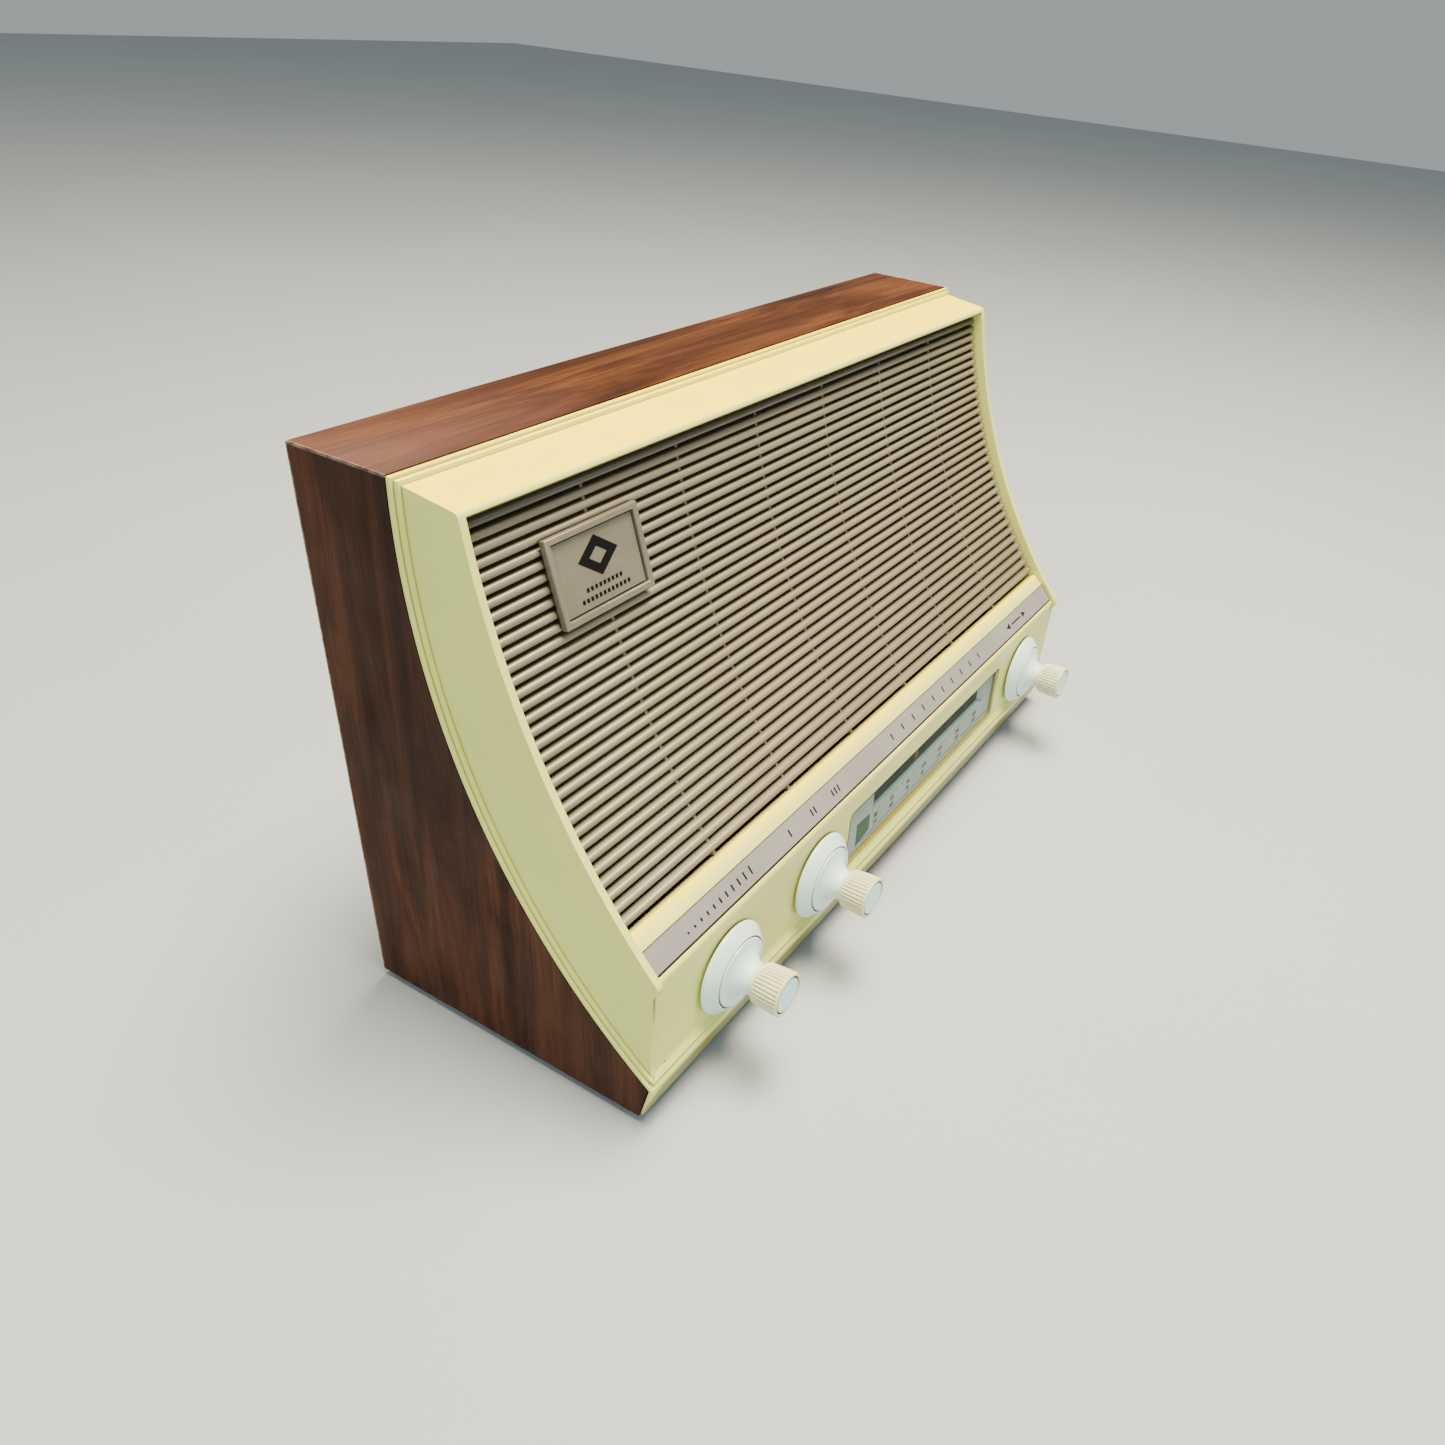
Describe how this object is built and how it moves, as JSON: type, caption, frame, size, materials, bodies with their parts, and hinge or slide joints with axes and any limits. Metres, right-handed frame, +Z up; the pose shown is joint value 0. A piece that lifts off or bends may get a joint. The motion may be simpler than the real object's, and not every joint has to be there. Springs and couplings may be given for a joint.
{
  "type": "table radio",
  "caption": "Table radio with a walnut cabinet, a curved cream moulded front, a slatted speaker grille, a tuning dial and turning control knobs.",
  "frame": {"origin": "centre of the bounding box's underside, on the surface that the rubber feet stand on", "axes": "+X to the right seen from the front, -Y out of the front towards the listener, +Z up"},
  "size_m": [0.34, 0.1484, 0.205],
  "materials": {
    "aerial_coil": "enamelled copper wire",
    "aerial_terminals": "brown phenolic",
    "back_cover": "pressed hardboard",
    "back_screw_1": "plated steel",
    "back_screw_2": "plated steel",
    "back_screw_3": "plated steel",
    "back_screw_4": "plated steel",
    "badge_frame": "warm grey metallic frame",
    "badge_plate": "taupe metallic plate",
    "baffle_board": "pressed hardboard",
    "band_knob": "off-white moulding",
    "band_knob_cap": "pale blue-grey disc",
    "band_shaft": "bare brass",
    "band_switch": "brown phenolic",
    "cabinet_bottom": "reddish walnut veneer, satin lacquer",
    "cabinet_side_left": "dark walnut veneer, satin lacquer",
    "cabinet_side_right": "dark walnut veneer, satin lacquer",
    "cabinet_top": "reddish walnut veneer, satin lacquer",
    "capacitor_frame": "plated steel",
    "capacitor_rotor": "bare aluminium",
    "capacitor_stator": "bare brass",
    "circuit_board": "brown phenolic",
    "corner_block_top_left": "bare softwood",
    "corner_block_top_right": "bare softwood",
    "dial_cord": "waxed thread",
    "dial_drum": "bare aluminium",
    "dial_pointer": "red",
    "dial_scale": "pale green-grey print",
    "dial_window": "clear plastic lens",
    "ferrite_rod": "dark grey",
    "filter_capacitor": "black sleeve",
    "foot_front_left": "black rubber",
    "foot_front_right": "black rubber",
    "foot_rear_left": "black rubber",
    "foot_rear_right": "black rubber",
    "front_bezel": "aged cream moulding, satin",
    "front_chassis": "plated steel",
    "grille_panel": "taupe moulded slats",
    "if_can_1": "bare aluminium",
    "if_can_2": "bare aluminium",
    "label_strip": "lavender-grey foil",
    "pulley_left": "bare brass",
    "pulley_right": "bare brass",
    "rod_clip_1": "brown phenolic",
    "rod_clip_2": "brown phenolic",
    "speaker_basket": "plated steel",
    "speaker_cone": "black paper",
    "speaker_magnet": "dark grey",
    "transformer_coil": "enamelled copper wire",
    "transformer_core": "dark grey",
    "tuning_bushing": "bare brass",
    "tuning_knob": "off-white moulding",
    "tuning_knob_cap": "pale blue-grey disc",
    "tuning_shaft": "bare brass",
    "volume_control": "bare aluminium",
    "volume_knob": "off-white moulding",
    "volume_knob_cap": "pale blue-grey disc",
    "volume_shaft": "bare brass"
  },
  "bodies": {
    "radio": {"aerial_coil": "aerial_coil", "aerial_terminals": "aerial_terminals", "back_cover": "back_cover", "back_screw_1": "back_screw_1", "back_screw_2": "back_screw_2", "back_screw_3": "back_screw_3", "back_screw_4": "back_screw_4", "badge_frame": "badge_frame", "badge_plate": "badge_plate", "baffle_board": "baffle_board", "band_switch": "band_switch", "cabinet_bottom": "cabinet_bottom", "cabinet_side_left": "cabinet_side_left", "cabinet_side_right": "cabinet_side_right", "cabinet_top": "cabinet_top", "capacitor_frame": "capacitor_frame", "capacitor_stator": "capacitor_stator", "circuit_board": "circuit_board", "corner_block_top_left": "corner_block_top_left", "corner_block_top_right": "corner_block_top_right", "dial_cord": "dial_cord", "dial_scale": "dial_scale", "dial_window": "dial_window", "ferrite_rod": "ferrite_rod", "filter_capacitor": "filter_capacitor", "foot_front_left": "foot_front_left", "foot_front_right": "foot_front_right", "foot_rear_left": "foot_rear_left", "foot_rear_right": "foot_rear_right", "front_bezel": "front_bezel", "front_chassis": "front_chassis", "grille_panel": "grille_panel", "if_can_1": "if_can_1", "if_can_2": "if_can_2", "label_strip": "label_strip", "rod_clip_1": "rod_clip_1", "rod_clip_2": "rod_clip_2", "speaker_basket": "speaker_basket", "speaker_cone": "speaker_cone", "speaker_magnet": "speaker_magnet", "transformer_coil": "transformer_coil", "transformer_core": "transformer_core", "tuning_bushing": "tuning_bushing", "volume_control": "volume_control"},
    "volume_control_shaft": {"volume_shaft": "volume_shaft", "volume_knob": "volume_knob", "volume_knob_cap": "volume_knob_cap"},
    "band_selector": {"band_shaft": "band_shaft", "band_knob": "band_knob", "band_knob_cap": "band_knob_cap"},
    "tuning_spindle": {"tuning_shaft": "tuning_shaft", "tuning_knob": "tuning_knob", "tuning_knob_cap": "tuning_knob_cap"},
    "tuning_drum": {"dial_drum": "dial_drum", "capacitor_rotor": "capacitor_rotor"},
    "pointer": {"dial_pointer": "dial_pointer"},
    "idler_left": {"pulley_left": "pulley_left"},
    "idler_right": {"pulley_right": "pulley_right"}
  },
  "joints": [
    {"name": "volume_turn", "type": "hinge", "parent": "radio", "child": "volume_control_shaft", "pos_m": [-0.1266, -0.05055, 0.0392], "axis": [0, 1, 0], "range_deg": [0, 300]},
    {"name": "band_turn", "type": "hinge", "parent": "radio", "child": "band_selector", "pos_m": [-0.0676, -0.05055, 0.0392], "axis": [0, 1, 0], "range_deg": [0, 60]},
    {"name": "drum_turn", "type": "hinge", "parent": "radio", "child": "tuning_drum", "pos_m": [0.062, 0.01225, 0.106], "axis": [0, -1, 0], "range_deg": [-76, 104]},
    {"name": "tuning_turn", "type": "hinge", "parent": "radio", "child": "tuning_spindle", "pos_m": [0.1289, -0.05055, 0.0392], "axis": [0, 1, 0], "range_deg": [-693.4, 948.9]},
    {"name": "pointer_slide", "type": "slide", "parent": "radio", "child": "pointer", "axis": [1, 0, 0], "range_m": [-0.04418, 0.06045]},
    {"name": "idler_left_turn", "type": "hinge", "parent": "radio", "child": "idler_left", "pos_m": [-0.0555, -0.03935, 0.0605], "axis": [0, 1, 0], "range_deg": [-617.3, 844.7]},
    {"name": "idler_right_turn", "type": "hinge", "parent": "radio", "child": "idler_right", "pos_m": [0.113, -0.03935, 0.0605], "axis": [0, 1, 0], "range_deg": [-617.3, 844.7]}
  ],
  "couplings": [
    {"joint": "tuning_turn", "follows": "drum_turn", "ratio": 9.1233},
    {"joint": "pointer_slide", "follows": "drum_turn", "m_per_rad": 0.0333},
    {"joint": "idler_left_turn", "follows": "drum_turn", "ratio": 8.122},
    {"joint": "idler_right_turn", "follows": "drum_turn", "ratio": 8.122}
  ]
}
